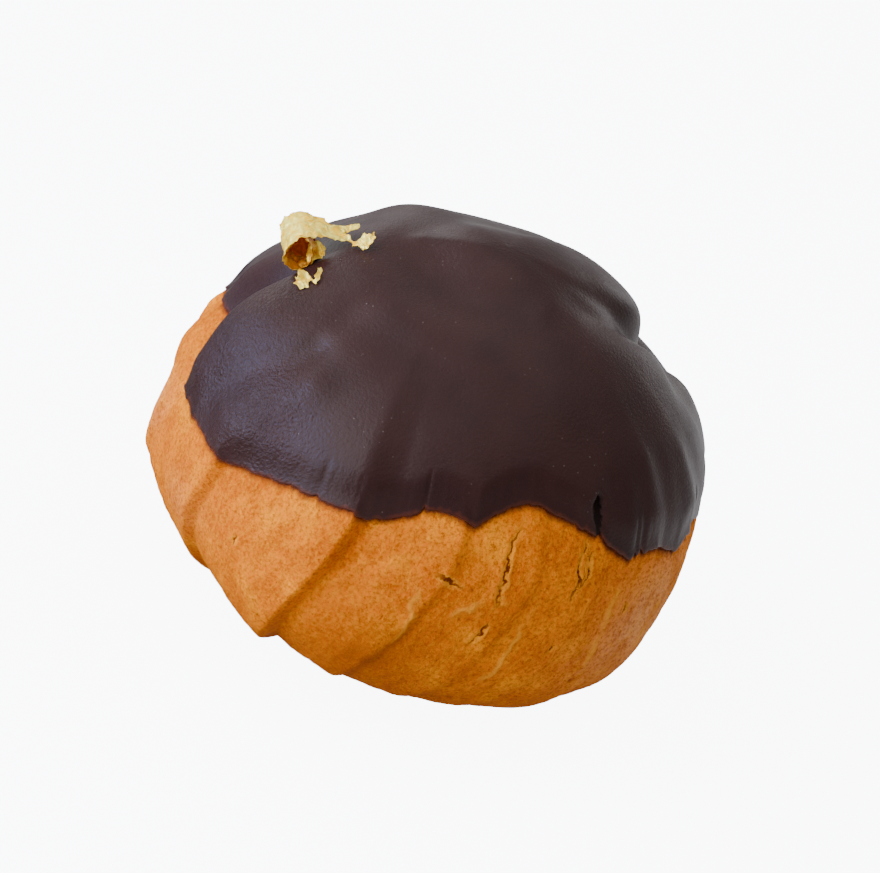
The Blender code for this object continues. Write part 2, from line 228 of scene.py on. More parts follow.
# Soft spots as level azimuth, polar angle, spread in degrees and strength: where the
# chocolate set grainy, where it set matt, where the crust is paler and where it is darker.
# The paler spots are partly baked less and partly painted light; the darker ones are
# partly browning and partly painted shade
GRAINY = ((203, 68, 16, 0.9), (233, 72, 11, 0.8), (60, 70, 20, 0.7))
MATT = ((187, 62, 11, 0.9),)
# The spot at level azimuth 191 is painted light, which lightens the crust's window-lit left side
LESS_BAKED_AND_PAINTED_LIGHT = ((340, 96, 15, 0.85), (191, 97, 9, 0.35), (222, 104, 8, 0.2), (60, 104, 25, 0.4))
# The spot at level azimuth 282 is painted shade, low on the front
BROWNED_AND_PAINTED_SHADE = ((282, 107, 12, 0.8), (120, 106, 20, 0.3))
# The polar angle where the crust starts to darken towards its foot, partly browning and
# partly painted shade, and over how many degrees; and the depth of a pore whose painted
# shade is fully dark
BROWN_AND_SHADE_START = 102.0
BROWN_AND_SHADE_LENGTH = 30.0
PORE_SHADE_DEPTH = 0.12


def smoothstep(value):
    value = np.clip(value, 0.0, 1.0)
    return value * value * (3.0 - 2.0 * value)


def angle_apart(first, second):
    return (first - second + 180.0) % 360.0 - 180.0


def ripple(points, size, seed=0.0):
    """Smooth noise from about -1 to 1, with bumps of about this size in millimetres."""
    shift = Vector((17.3 * seed, 5.1 * seed, -9.7 * seed))
    return np.array([noise.noise(Vector(point) / size + shift) for point in points])


def ripples(points, layers, seed=0.0):
    """Layers of that noise, added up."""
    return sum(height * ripple(points, size, seed + own) for height, size, own in layers)


def swirl(polar):
    """Degrees that a crease has turned by this polar angle."""
    down = polar - SWIRL_LEVEL
    steady = (SWIRL_BELOW - SWIRL_ABOVE) / 2.0
    bend = (SWIRL_BELOW + SWIRL_ABOVE) / 2.0
    return -(steady * down + bend * (np.hypot(down, SWIRL_BLEND) - SWIRL_BLEND))


def flute_position(level_azimuth):
    """The flute at an azimuth, how far across it from 0 to 1, and its width in degrees."""
    starts = np.array([crease[0] for crease in CREASES], float)
    level_azimuth = (level_azimuth - starts[0]) % 360.0 + starts[0]
    index = np.searchsorted(starts, level_azimuth, side="right") - 1
    widths = np.diff(np.append(starts, starts[0] + 360.0))
    return index, (level_azimuth - starts[index]) / widths[index], widths[index]


def flute_height(azimuth, polar, coated):
    """The overlapping flutes: each rises from its crease and drops at the next one.

    Under the chocolate the drop is wider, and centred on the crease."""
    shown = np.array([crease[2] if coated else 1.0 for crease in CREASES])
    depths = np.array([crease[1] for crease in CREASES]) * shown
    index, across, width = flute_position(azimuth - swirl(polar))
    length = width * MM_PER_DEGREE
    proud, behind = depths[(index + 1) % len(CREASES)], depths[index]
    drop = COATED_LEDGE_WIDTH if coated else LEDGE_WIDTH
    before = smoothstep((1.0 - across) * length / drop + (0.5 if coated else 0.0))
    after = smoothstep(0.5 - across * length / drop) if coated else 0.0
    height = proud * across**FLUTE_BULGE * before + behind * after
    mean = FLUTE_MEAN * (behind + (proud - behind) * across)
    start = COATED_FLUTE_START if coated else FLUTE_START
    risen = smoothstep((polar - start) / FLUTE_RISE)
    faded = FLUTE_FADE * smoothstep((polar - FLUTE_FADE_START) / FLUTE_FADE_LENGTH)
    return (height - mean) * risen * (1.0 - faded)


def crown_valley(azimuth, polar):
    notch = np.exp(-((angle_apart(azimuth, NOTCH_AZIMUTH) / NOTCH_WIDTH) ** 2))
    front = np.exp(-((angle_apart(azimuth, FRONT_AZIMUTH) / FRONT_WIDTH) ** 2))
    turn = 0.5 + 0.5 * np.cos(np.radians(azimuth - NOTCH_FALL_AZIMUTH))
    level = VALLEY_LEVEL + NOTCH_FALL * turn**NOTCH_FALL_POWER
    depth = VALLEY_DEPTH + NOTCH_DEPTH * notch + FRONT_DEPTH * front
    return -depth * np.exp(-(((polar - level) / VALLEY_WIDTH) ** 2))


def left_fold(azimuth, polar):
    away = angle_apart(azimuth - swirl(polar), FOLD_AZIMUTH)
    away = away / np.where(away > 0.0, FOLD_NEAR_WIDTH, FOLD_FAR_WIDTH)
    along = (polar - FOLD_LEVEL) / FOLD_LENGTH
    return -FOLD_DEPTH * np.exp(-(away**2)) * np.exp(-(along**4))


def spots_of(azimuth, polar, table):
    """Round soft spots, each from the table's azimuth, polar angle, spread and height."""
    total = 0.0 * azimuth
    for centre, level, spread, height in table:
        sideways = angle_apart(azimuth, centre) * np.sin(np.radians(level))
        total = total + height * np.exp(-(sideways**2 + (polar - level) ** 2) / spread**2)
    return total


def on_ball(azimuth, polar):
    """Points on a ball about as wide as the bun, centred on its heart."""
    azimuth, polar = np.radians(azimuth), np.radians(polar)
    flat = BUN_RADIUS * np.sin(polar)
    level = BUN_RADIUS * np.cos(polar) + 0.0 * azimuth
    return np.stack([flat * np.cos(azimuth), flat * np.sin(azimuth), level], axis=-1)


def strokes(azimuth, polar, table):
    """Soft ridges and grooves, each along a straight line."""
    point = on_ball(azimuth, polar)
    total = 0.0 * azimuth
    for start, end, width, height in table:
        first = on_ball(*start)
        run = on_ball(*end) - first
        along = np.clip((point - first) @ run / (run @ run), 0.0, 1.0)
        away = np.linalg.norm(point - first - along[..., None] * run, axis=-1)
        total = total + height * np.exp(-((away / width) ** 2))
    return total


def plain_radius(polar):
    sideways = np.abs(np.sin(np.radians(polar))) / BUN_RADIUS
    upwards = np.cos(np.radians(polar))
    fullness = np.where(upwards > 0, CROWN_FULLNESS, FOOT_FULLNESS)
    reach = np.abs(upwards) / np.where(upwards > 0, CROWN_RISE, FOOT_DROP)
    return (sideways**fullness + reach**fullness) ** (-1.0 / fullness)


def puff_radius(azimuth, polar, coated=False):
    return (plain_radius(polar) + flute_height(azimuth, polar, coated)
            + crown_valley(azimuth, polar) + left_fold(azimuth, polar)
            + spots_of(azimuth, polar, SWELLINGS) + strokes(azimuth, polar, STROKES))


def coat_radius(azimuth, polar, thickness):
    """The outside of the chocolate, which softens the flutes but always covers them."""
    soft = puff_radius(azimuth, polar, coated=True) + thickness
    least = puff_radius(azimuth, polar) + np.minimum(LEAST_COAT, thickness)
    return (soft + least + np.sqrt((soft - least) ** 2 + COAT_BLEND**2) - COAT_BLEND / 3.0) / 2.0


def pooled_radius(azimuth, polar, thickness):
    """The same, averaged with its surroundings where the chocolate pooled."""
    radius = coat_radius(azimuth, polar, thickness)
    widen = 1.0 / np.maximum(np.sin(np.radians(polar)), 0.1)
    around = [coat_radius(azimuth + POOL_SPREAD * math.cos(turn) * widen,
                          polar + POOL_SPREAD * math.sin(turn), thickness)
              for turn in np.arange(POOL_DIRECTIONS) * 2.0 * math.pi / POOL_DIRECTIONS]
    return radius + spots_of(azimuth, polar, POOLED) * (np.mean(around, axis=0) - radius)


def rim_polar(level_azimuth):
    """Polar angle of the chocolate's lower edge."""
    tips = np.array(RIM_TIPS, float)
    level_azimuth = level_azimuth % 360.0
    index = np.searchsorted(tips[:, 0], level_azimuth, side="right") - 1
    following = np.roll(tips, -1, axis=0)[index]
    width = (following[:, 0] - tips[index, 0]) % 360.0
    across = (level_azimuth - tips[index, 0]) / width
    level = tips[index, 1] + (following[:, 1] - tips[index, 1]) * smoothstep(across)
    return level - tips[index, 2] * np.sin(np.pi * across)


def ragged_rim(level_azimuth):
    """The same edge with its fine unevenness and its nicks, which narrow upwards."""
    circle = on_ball(level_azimuth, 90.0 + 0.0 * level_azimuth)
    uneven = ripples(circle, RIM_RIPPLES)
    for centre, height, width in RIM_GAPS:
        away = np.abs(angle_apart(level_azimuth, centre)) * MM_PER_DEGREE / width
        uneven = uneven - height * np.exp(-(away**GAP_TAPER))
    return rim_polar(level_azimuth) + uneven / MM_PER_DEGREE


def place(azimuth, polar, radius):
    """Points at a distance from the heart, as x, y and z."""
    azimuth, polar = np.radians(azimuth), np.radians(polar)
    flat = radius * np.sin(polar)
    height = HEART_HEIGHT + radius * np.cos(polar)
    return np.stack([flat * np.cos(azimuth), flat * np.sin(azimuth), height], axis=-1)


def rest_on_table(points):
    height = points[:, 2] / FOOT_FILLET
    rounded = (np.clip(height, -1.0, 1.0) + 1.0) ** 2 / 4.0
    points[:, 2] = np.where(height > 1.0, height, rounded) * FOOT_FILLET
    return points


# ---------------------------------------------------------------- meshes

COLUMNS = 600
FRONT = 270.0
FRONT_DENSITY = 0.25
# Rings of the crust under the chocolate, in view and round the foot, how many degrees above
# the chocolate's edge the ones in view start, and the polar angle where they end
CRUST_RINGS = (16, 108, 22)
CRUST_HIDDEN = 10.0
CRUST_FOOT = 134.0
# How far the crust draws back under the chocolate, and over how many degrees
CRUST_SINKS = 0.5
SINK_LENGTH = 5.0
RELIEF_START = 6.0
# Rings of the chocolate's outside, its rounded edge and its inside
COAT_RINGS = (124, 5, 11)


def ball(columns, rings):
    """A closed round mesh, with each point's level azimuth and its ring from the top.

    The columns stand closer together at the front."""
    shape = bmesh.new()
    bmesh.ops.create_uvsphere(shape, u_segments=columns, v_segments=rings, radius=1.0)
    points = np.array([vertex.co[:] for vertex in shape.verts])
    turn = np.arctan2(points[:, 1], points[:, 0])
    drawn_in = FRONT_DENSITY * np.sin(turn - math.radians(FRONT))
    ring = np.round(np.arccos(np.clip(points[:, 2], -1.0, 1.0)) / math.pi * rings)
    return shape, np.degrees(turn - drawn_in) % 360.0, ring


def finish_piece(name, shape, points, material, node):
    """Moves the points into place and hands the piece over in the CAD node's stead."""
    for vertex, point in zip(shape.verts, points * METRES_PER_MM):
        vertex.co = point
    bmesh.ops.recalc_face_normals(shape, faces=shape.faces)
    mesh = bpy.data.meshes.new(name)
    shape.to_mesh(mesh)
    shape.free()
    mesh.shade_smooth()
    mesh.materials.append(material)
    piece = bpy.data.objects.new(name, mesh)
    bpy.context.scene.collection.objects.link(piece)
    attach(piece, "root")
    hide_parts(node)
    return piece


def store(piece, name, values):
    """Keeps a number or a vector for each point, for the material to read."""
    kind, field = ("FLOAT_VECTOR", "vector") if values.ndim == 2 else ("FLOAT", "value")
    attribute = piece.data.attributes.new(name, kind, "POINT")
    attribute.data.foreach_set(field, values.astype(np.float32).ravel())


def line_field(level_azimuth, polar, lines):
    """Signed distance to the nearest of the lines, and 0 at that line's ends to 1 midway."""
    nearest = np.full(polar.shape, 99.0)
    across, midway = nearest.copy(), 0.0 * nearest
    for points in lines:
        for index, (start, end) in enumerate(zip(points, points[1:])):
            run = np.array([angle_apart(end[0], start[0]), end[1] - start[1]]) * MM_PER_DEGREE
            aside = angle_apart(level_azimuth, start[0]) * MM_PER_DEGREE
            down = (polar - start[1]) * MM_PER_DEGREE
            along = np.clip((aside * run[0] + down * run[1]) / (run @ run), 0.0, 1.0)
            aside, down = aside - along * run[0], down - along * run[1]
            away = np.hypot(aside, down)
            closer = away < nearest
            side = np.sign(run[0] * down - run[1] * aside)
            nearest = np.where(closer, away, nearest)
            across = np.where(closer, side * away, across)
            midway = np.where(closer, np.sin(np.pi * (index + along) / (len(points) - 1)), midway)
    return across, midway


def pore_depth(points, centres, radii):
    """Small round pits."""
    total = np.zeros(len(points))
    order = np.argsort(points[:, 0])
    sorted_x = points[order, 0]
    for centre, radius in zip(centres, radii):
        low, high = np.searchsorted(sorted_x, [centre[0] - 2 * radius, centre[0] + 2 * radius])
        near = order[low:high]
        away = np.linalg.norm(points[near] - centre, axis=1) / radius
        total[near] = np.maximum(total[near], PORE_DEPTH * radius * np.exp(-(away**2) * 2.0))
    return total


def scattered_pores():
    """Places and sizes of the pores, where steam broke through the crust."""
    chance = np.random.default_rng(PORE_SEED)
    azimuth = chance.uniform(0.0, 360.0, PORES)
    polar = chance.uniform(*PORE_LEVELS, PORES)
    radii = LEAST_PORE + PORE_SPREAD * chance.random(PORES) ** 3
    return place(azimuth, polar, puff_radius(azimuth, polar)), radii


def make_crust():
    """The baked crust. Its rings are close together only where it shows."""
    covered, shown, under = CRUST_RINGS
    shape, level_azimuth, ring = ball(COLUMNS, covered + shown + under)
    top = rim_polar(level_azimuth) - CRUST_HIDDEN
    polar = np.where(
        ring < covered, top * ring / covered,
        np.where(ring < covered + shown, top + (CRUST_FOOT - top) * (ring - covered) / shown,
                 CRUST_FOOT + (180.0 - CRUST_FOOT) * (ring - covered - shown) / under))
    azimuth = level_azimuth + swirl(polar)
    radius = puff_radius(azimuth, polar)
    smooth = place(azimuth, polar, radius)
    flow = on_ball(level_azimuth, 90.0 + 0.0 * polar)
    flow[:, 2] = polar * MM_PER_DEGREE / FLOW_STRETCH
    wander = ripples(smooth, WANDER)
    fissure_across, fissure_midway = line_field(level_azimuth, polar, FISSURES)
    fissure_across = fissure_across + FISSURE_WANDER * wander
    fissured = fissure_midway**FISSURE_TAPER * np.exp(-((fissure_across / FISSURE_REACH) ** 2))
    vein_across, vein_midway = line_field(level_azimuth, polar, VEINS)
    vein_across = (vein_across + VEIN_WANDER * wander) / VEIN_WIDTH
    vein = np.exp(-(vein_across**2)) * vein_midway**VEIN_TAPER
    vein = vein * smoothstep(VEIN_SHOWS + ripples(smooth, VEIN_BREAKS))
    furrow = FURROW_DEPTH * fissured * np.exp(-((fissure_across / FURROW_WIDTH) ** 2))
    beside = (np.abs(fissure_across) - LIP_PLACE) / LIP_WIDTH
    lips = LIP_HEIGHT * fissured * np.exp(-(beside**2))
    pores = pore_depth(smooth, *scattered_pores())
    uneven = (ripples(smooth, CRUST_RIPPLES) + ripples(flow, FLOWING_RIPPLES)
              + ripples(flow * np.array([1.0, 1.0, RIB_STRETCH]), RIB_RIPPLES))
    in_view = smoothstep((polar - top) / RELIEF_START)
    sunk = CRUST_SINKS * smoothstep((top - polar) / SINK_LENGTH)
    relief = (uneven + VEIN_HEIGHT * vein) * in_view + lips - furrow - pores - sunk
    points = rest_on_table(place(azimuth, polar, radius + relief))
    piece = finish_piece("choux_crust", shape, points, baked_choux_crust(), "choux_bun")
    # Darker towards the foot: partly browning, partly painted shade
    browned = smoothstep((polar - BROWN_AND_SHADE_START) / BROWN_AND_SHADE_LENGTH)
    for name, values in (
            ("flow", flow * METRES_PER_MM), ("vein", vein), ("fissured", fissured),
            ("fissure_across", fissure_across), ("pore", np.clip(pores / PORE_SHADE_DEPTH, 0.0, 1.0)),
            ("less_baked", spots_of(level_azimuth, polar, LESS_BAKED_AND_PAINTED_LIGHT)),
            ("browned", browned + spots_of(level_azimuth, polar, BROWNED_AND_PAINTED_SHADE)),
            ("below_rim", (polar - ragged_rim(level_azimuth)) * MM_PER_DEGREE)):
        store(piece, name, values)
    return piece


def make_coating():
    """The chocolate cap: a ball flattened into a shell, whose equator is the lower edge."""
    outside, edge, inside = COAT_RINGS
    shape, level_azimuth, ring = ball(COLUMNS, outside + edge + inside)
    rim = ragged_rim(level_azimuth)
    rounding = RIM_ROUNDING / (rim * MM_PER_DEGREE)
    quarter = np.clip((ring - outside) / edge, 0.0, 1.0) * math.pi / 2.0
    back = (ring - outside - edge) / inside
    share = np.where(ring <= outside, (ring / outside) * (1.0 - rounding),
                     1.0 - rounding * (1.0 - np.sin(quarter)))
    share = np.where(back > 0.0, 1.0 - back, share)
    polar = share * rim
    from_edge = (1.0 - share) * rim * MM_PER_DEGREE
    azimuth = level_azimuth + swirl(polar)
    plain = place(azimuth, polar, puff_radius(azimuth, polar, coated=True))
    inwards = smoothstep(from_edge / RIM_THINNING)
    thickness = RIM_THICKNESS + (COAT_THICKNESS - RIM_THICKNESS) * inwards
    uneven = ripples(plain, COAT_RIPPLES) + strokes(azimuth, polar, RUNS)
    slit = np.minimum(strokes(azimuth, polar, SLITS), 1.0)
    outer = (pooled_radius(azimuth, polar, thickness) - SLIT_DEPTH * slit * inwards
             + uneven * (RIM_EVENNESS + (1.0 - RIM_EVENNESS) * inwards))
    inner = puff_radius(azimuth, polar) - COAT_SINKS
    radius = np.where(ring <= outside, outer, inner + (outer - inner) * np.cos(quarter))
    radius = np.where(back >= 0.0, inner, radius)
    piece = finish_piece("dark_chocolate_coating", shape, place(azimuth, polar, radius),
                         tempered_dark_chocolate(), "chocolate_coating")
    for name, values in (
            ("from_edge", from_edge), ("slit", slit),
            ("grainy", spots_of(level_azimuth, polar, GRAINY)),
            ("matt", spots_of(level_azimuth, polar, MATT))):
        store(piece, name, values)
    return piece


# ---------------------------------------------------------------- gold leaf

# Leaf lies where the chocolate is this azimuth and polar angle. Its own measures go uphill
# to the crown, back round the puff, and out of the chocolate.
LEAF_AZIMUTH = 196.5
LEAF_POLAR = 48.5

# The flake is one strip, curled into a roll at its lower end and drawn out to a thin arm at
# its upper one. Each row is a place along it: uphill, out, its front edge and back edge as
# distances back, and how much further out the back edge is.
FLAKE = (
    (2.2, 3.0, 0.1, 2.2, 0.2), (2.4, 1.9, -0.2, 2.6, 0.1), (1.7, 0.7, -0.3, 2.8, 0.1),
    (0.5, 0.1, -0.1, 3.0, 0.2), (-0.5, 0.9, 0.1, 3.4, 0.2), (-0.8, 2.1, 0.2, 3.8, 0.3),
    (-0.4, 3.0, 0.3, 4.4, 0.5), (0.8, 3.4, 0.3, 4.8, 0.7), (2.1, 3.2, 0.6, 4.9, 0.6),
    (3.2, 2.4, 1.0, 4.6, 0.5), (4.1, 1.5, 1.5, 4.4, 0.5), (5.0, 0.9, 1.7, 3.9, 0.4),
    (5.7, 0.4, 1.3, 2.3, 0.2), (6.3, 0.3, 0.4, 1.5, 0.3), (7.0, 0.4, -0.5, 1.4, 0.8),
    (7.8, 0.7, -0.3, 1.3, 0.8), (8.4, 1.2, 0.3, 1.1, 0.4),
)
# The back of the roll, which stands across it
ROLL_BACK = (
    (-0.7, 0.8, 2.9, 3.4, 2.2), (0.2, 0.1, 3.0, 3.6, 3.0), (1.2, 0.2, 3.1, 3.7, 3.1),
    (2.3, 0.9, 2.8, 3.4, 2.2),
)
# Its torn right-hand wall, which faces the light
WALL = (
    (0.9, 0.2, 0.4, 1.2, 0.6), (1.5, 0.2, 0.3, 2.3, 1.3), (2.1, 0.2, 0.5, 2.4, 1.4),
    (2.7, 0.2, 0.8, 2.2, 1.3), (3.1, 0.3, 1.3, 1.9, 0.6),
)
PRONG = (
    (4.4, 1.3, 3.0, 4.4, 0.3), (5.2, 1.0, 3.5, 4.8, 0.4), (6.0, 0.9, 4.2, 5.0, 0.4),
    (6.6, 1.0, 4.7, 5.1, 0.2),
)
BITS = (
    (-0.5, 0.2, -3.8, -3.3, 0.3), (0.0, 0.1, -4.1, -2.8, 0.9), (0.5, 0.1, -3.8, -2.3, 1.2),
    (1.0, 0.3, -3.3, -2.6, 0.6), (1.2, 0.2, -3.9, -3.5, 0.2), (1.6, 0.3, -4.0, -3.3, 0.4),
    (2.1, 0.4, -3.3, -2.7, 0.4), (2.5, 0.5, -2.7, -2.5, 0.2),
)
LEAF_THICKNESS = 0.035
LEAF_CLEARS = 0.03
# The share of the flake's length that is curled up and takes painted shade and painted
# reflection, and over how much of it that ends
CURL_END = 0.37
CURL_FADE = 0.08
# How the front and back edges of a strip are torn, on strips up to a full width
FRONT_TEAR = ((0.30, 0.8, 0), (0.15, 0.3, 1))
BACK_TEAR = ((0.35, 0.9, 2), (0.2, 0.35, 3))
TORN_WIDTH = 1.5
# The little folds of crumpled leaf: height, size and seed
FOLDS = ((1.0, 1.1, 0), (0.5, 0.5, 5))
FOLD_MEAN = 0.25


def through_rows(rows, share):
    """A smooth run through the rows, at shares of its length from 0 to 1."""
    rows = np.array(rows, float)
    spot = share * (len(rows) - 1)
    index = np.minimum(spot.astype(int), len(rows) - 2)
    part = (spot - index)[:, None]
    before, first = rows[np.maximum(index - 1, 0)], rows[index]
    second, after = rows[index + 1], rows[np.minimum(index + 2, len(rows) - 1)]
    bend = 2.0 * before - 5.0 * first + 4.0 * second - after
    twist = 3.0 * (first - second) + after - before
    return first + 0.5 * part * (second - before + part * (bend + part * twist))


def on_chocolate(uphill, back, out):
    """Points measured from the leaf's spot on the chocolate, as x, y and z."""
    spot = np.array([LEAF_AZIMUTH]), np.array([LEAF_POLAR])
    reach = coat_radius(*spot, COAT_THICKNESS)[0]
    polar = LEAF_POLAR - np.degrees(uphill / reach)
    azimuth = LEAF_AZIMUTH - np.degrees(back / (reach * math.sin(math.radians(LEAF_POLAR))))
    return place(azimuth, polar, coat_radius(azimuth, polar, COAT_THICKNESS) + out)


def creased(points, size, seed):
    """Sharp little folds, as offsets in each direction."""
    folds = [np.abs(ripple(points, size, seed + step)) - FOLD_MEAN for step in range(3)]
    return np.stack(folds, axis=-1)


def leaf_strip(rows, along_steps, across_steps, crumple, seed, inside=0.0, curled=0.0):
    """One thin strip of crumpled leaf with torn edges, and how far painted shade and painted
    reflection turn each point of it amber.

    Inside is for a strip that lies within the curl, curled for the curl at a strip's start."""
    shape = bmesh.new()
    bmesh.ops.create_grid(shape, x_segments=along_steps, y_segments=across_steps, size=0.5)
    flat = np.array([vertex.co[:] for vertex in shape.verts])
    along, across = flat[:, 0] + 0.5, flat[:, 1] + 0.5
    uphill, out, front, back, rise = through_rows(rows, along).T
    walk = np.stack([along * len(rows), 0.0 * along, 0.0 * along], axis=-1)
    torn = np.minimum(back - front, TORN_WIDTH)
    front = front + ripples(walk, FRONT_TEAR, seed) * torn
    back = back + ripples(walk, BACK_TEAR, seed) * torn
    depth = front + (back - front) * across
    local = np.stack([uphill, depth, out + rise * across**1.5], axis=-1)
    folds = sum(height * creased(local, size, seed + own) for height, size, own in FOLDS)
    uphill, depth, out = (local + crumple * folds).T
    # Painted shade and painted reflection of the gold on itself, inside and at the curl
    amber = inside + curled * smoothstep((CURL_END - along) / CURL_FADE)
    return shape, on_chocolate(uphill, depth, np.maximum(out, LEAF_CLEARS)), amber


def make_leaf(name, node, strips):
    """Strips of leaf joined as one piece, with the thickness of leaf folded on itself."""
    whole = bmesh.new()
    places, ambers = [], []
    for shape, points, amber in strips:
        strip = bpy.data.meshes.new("strip")
        shape.to_mesh(strip)
        shape.free()
        whole.from_mesh(strip)
        bpy.data.meshes.remove(strip)
        places.append(points)
        ambers.append(amber)
    piece = finish_piece(name, whole, np.concatenate(places), beaten_gold_leaf(), node)
    store(piece, "inside_curl", np.concatenate(ambers))
    wall = piece.modifiers.new("Leaf thickness", "SOLIDIFY")
    wall.thickness = LEAF_THICKNESS * METRES_PER_MM
    return piece


# ---------------------------------------------------------------- materials

def colour(hex_code):
    """An sRGB hex colour as linear red, green, blue and alpha."""
    channels = [int(hex_code[start:start + 2], 16) / 255.0 for start in (1, 3, 5)]
    linear = [c / 12.92 if c <= 0.04045 else ((c + 0.055) / 1.055) ** 2.4 for c in channels]
    return (*linear, 1.0)


def per_mm(count=1.0):
    """A pattern's scale in repeats per metre, from repeats per millimetre."""
    return count / METRES_PER_MM


def add(tree, kind, settings=None, links=None):
    """A shader node with its properties, input values, ramp stops and links set."""
    node = tree.nodes.new(kind)
    for key, value in (settings or {}).items():
        if key == "stops":
            while len(node.color_ramp.elements) < len(value):
                node.color_ramp.elements.new(0.5)
            for element, (position, shade) in zip(node.color_ramp.elements, value):
                element.position = position
                element.color = colour(shade)
        elif isinstance(key, str) and hasattr(node, key):
            setattr(node, key, value)
        else:
            node.inputs[key].default_value = value
    for key, socket in (links or {}).items():
        tree.links.new(socket, node.inputs[key])
    return node


def new_material(name, settings):
    material = bpy.data.materials.new(name)
    material.use_nodes = True
    tree = material.node_tree
    shader = tree.nodes["Principled BSDF"]
    for key, value in settings.items():
        shader.inputs[key].default_value = value
    return material, tree, shader


def baked_choux_crust():
    """Choux paste baked golden and dry. The eye sees an orange-gold skin with browner
    clouds, speckled with tiny paler blisters and browner freckles, a few thin fissures with
    pale raised lips, pale veins and pores, and a red-brown stain where the chocolate ends.
    Painted shade darkens the fissures' gaps and the pores, and, together with browning, the
    foot. A paler patch is partly baked less and partly painted light on the lit left side.
    The blisters and freckles are a little coarser than the real ones, so that they show."""
    material, tree, shader = new_material(
        "baked_choux_crust", {"Roughness": 0.7, "IOR": 1.45, "Specular IOR Level": 0.02})
    spot = add(tree, "ShaderNodeTexCoord").outputs["Object"]
    flow = add(tree, "ShaderNodeAttribute", {"attribute_name": "flow"}).outputs["Vector"]
    vein, pore, fissured, across, below_rim, less_baked, browned = [
        add(tree, "ShaderNodeAttribute", {"attribute_name": name}).outputs["Fac"]
        for name in ("vein", "pore", "fissured", "fissure_across", "below_rim", "less_baked",
                     "browned")]

    # Each noise reads these coordinates, and has this size in millimetres, detail and
    # roughness
    clouds, drawn, speckles, freckles, wobble, broken, crumb = [
        add(tree, "ShaderNodeTexNoise",
            {"Scale": per_mm(1 / size), "Detail": detail, "Roughness": roughness},
            {"Vector": where}).outputs["Fac"]
        for where, size, detail, roughness in (
            (spot, 5.0, 4.0, 0.5), (flow, 1.9, 3.0, 0.5), (flow, 0.45, 4.0, 0.8),
            (spot, 0.4, 4.0, 0.8), (spot, 0.5, 2.0, 0.5), (spot, 1.5, 1.0, 0.5),
            (spot, 0.45, 3.0, 0.6))]
    # How much of the colours below it gives, from the noise's low values to its high ones
    browner, paler, darker, wobble, broken = [
        add(tree, "ShaderNodeMapRange", {1: low, 2: high, 3: least, 4: most},
            {"Value": source}).outputs[0]
        for source, low, high, least, most in (
            (drawn, 0.48, 0.66, 0.0, 0.5), (speckles, 0.44, 0.70, 0.0, 0.5),
            (freckles, 0.45, 0.68, 0.0, 0.85), (wobble, 0.3, 0.7, -0.16, 0.16),
            (broken, 0.32, 0.48, 0.0, 1.0))]

    # A fissure's gap, painted with shade, and its lips, by the distance in millimetres from its
    # wavering middle
    line = add(tree, "ShaderNodeMath", {"operation": "ADD"}, {0: across, 1: wobble}).outputs[0]
    line = add(tree, "ShaderNodeMath", {"operation": "ABSOLUTE"}, {0: line}).outputs[0]
    gap = add(tree, "ShaderNodeMapRange", {1: 0.07, 2: 0.18, 3: 1.0, 4: 0.0},
              {"Value": line}).outputs[0]
    gap = add(tree, "ShaderNodeMath", {"operation": "MULTIPLY"}, {0: gap, 1: broken}).outputs[0]
    gap = add(tree, "ShaderNodeMath", {"operation": "MULTIPLY"}, {0: gap, 1: fissured}).outputs[0]
    lip = add(tree, "ShaderNodeMapRange", {1: 0.55, 2: 0.18, 3: 0.0, 4: 0.5},
              {"Value": line}).outputs[0]
    lip = add(tree, "ShaderNodeMath", {"operation": "MULTIPLY"}, {0: lip, 1: fissured}).outputs[0]
    # Painted shade in the pits, darker as the pit is deeper
    veined, browned, pore_painted_shade = [
        add(tree, "ShaderNodeMath", {"operation": "MULTIPLY", 1: most}, {0: share}).outputs[0]
        for share, most in ((vein, 0.65), (browned, 0.75), (pore, 0.6))]
    edge = add(tree, "ShaderNodeMath", {"operation": "SUBTRACT"}, {0: below_rim, 1: speckles})
    stain = add(tree, "ShaderNodeMapRange", {1: -0.45, 2: 0.30, 3: 0.95, 4: 0.0},
                {"Value": edge.outputs[0]}).outputs[0]

    skin = add(tree, "ShaderNodeValToRGB", {"stops": (
        (0.36, "#d0670c"), (0.52, "#e4780d"), (0.66, "#f18c0c"))}, {"Fac": clouds}).outputs["Color"]
    # Among these layers the paler patch is partly painted light, the foot's darkening is partly
    # painted shade, and the gap and the pits are painted shade
    for share, shade in (
            (less_baked, "#eaa168"), (browner, "#b45600"), (paler, "#fba31c"),
            (darker, "#963f00"), (veined, "#f9ab34"), (lip, "#fbaa2c"), (gap, "#6e2a06"),
            (browned, "#8f4204"), (pore_painted_shade, "#7d3406"), (stain, "#5a2a1c")):
        skin = add(tree, "ShaderNodeMix", {"data_type": "RGBA", 7: colour(shade)},
                   {0: share, 6: skin}).outputs[2]
    tree.links.new(skin, shader.inputs["Base Color"])

    height = add(tree, "ShaderNodeMath", {"operation": "ADD"}, {0: crumb, 1: paler}).outputs[0]
    height = add(tree, "ShaderNodeMath", {"operation": "SUBTRACT"}, {0: height, 1: gap}).outputs[0]
    bump = add(tree, "ShaderNodeBump", {"Strength": 0.7, "Distance": 0.20 * METRES_PER_MM},
               {"Height": height})
    tree.links.new(bump.outputs["Normal"], shader.inputs["Normal"])
    return material


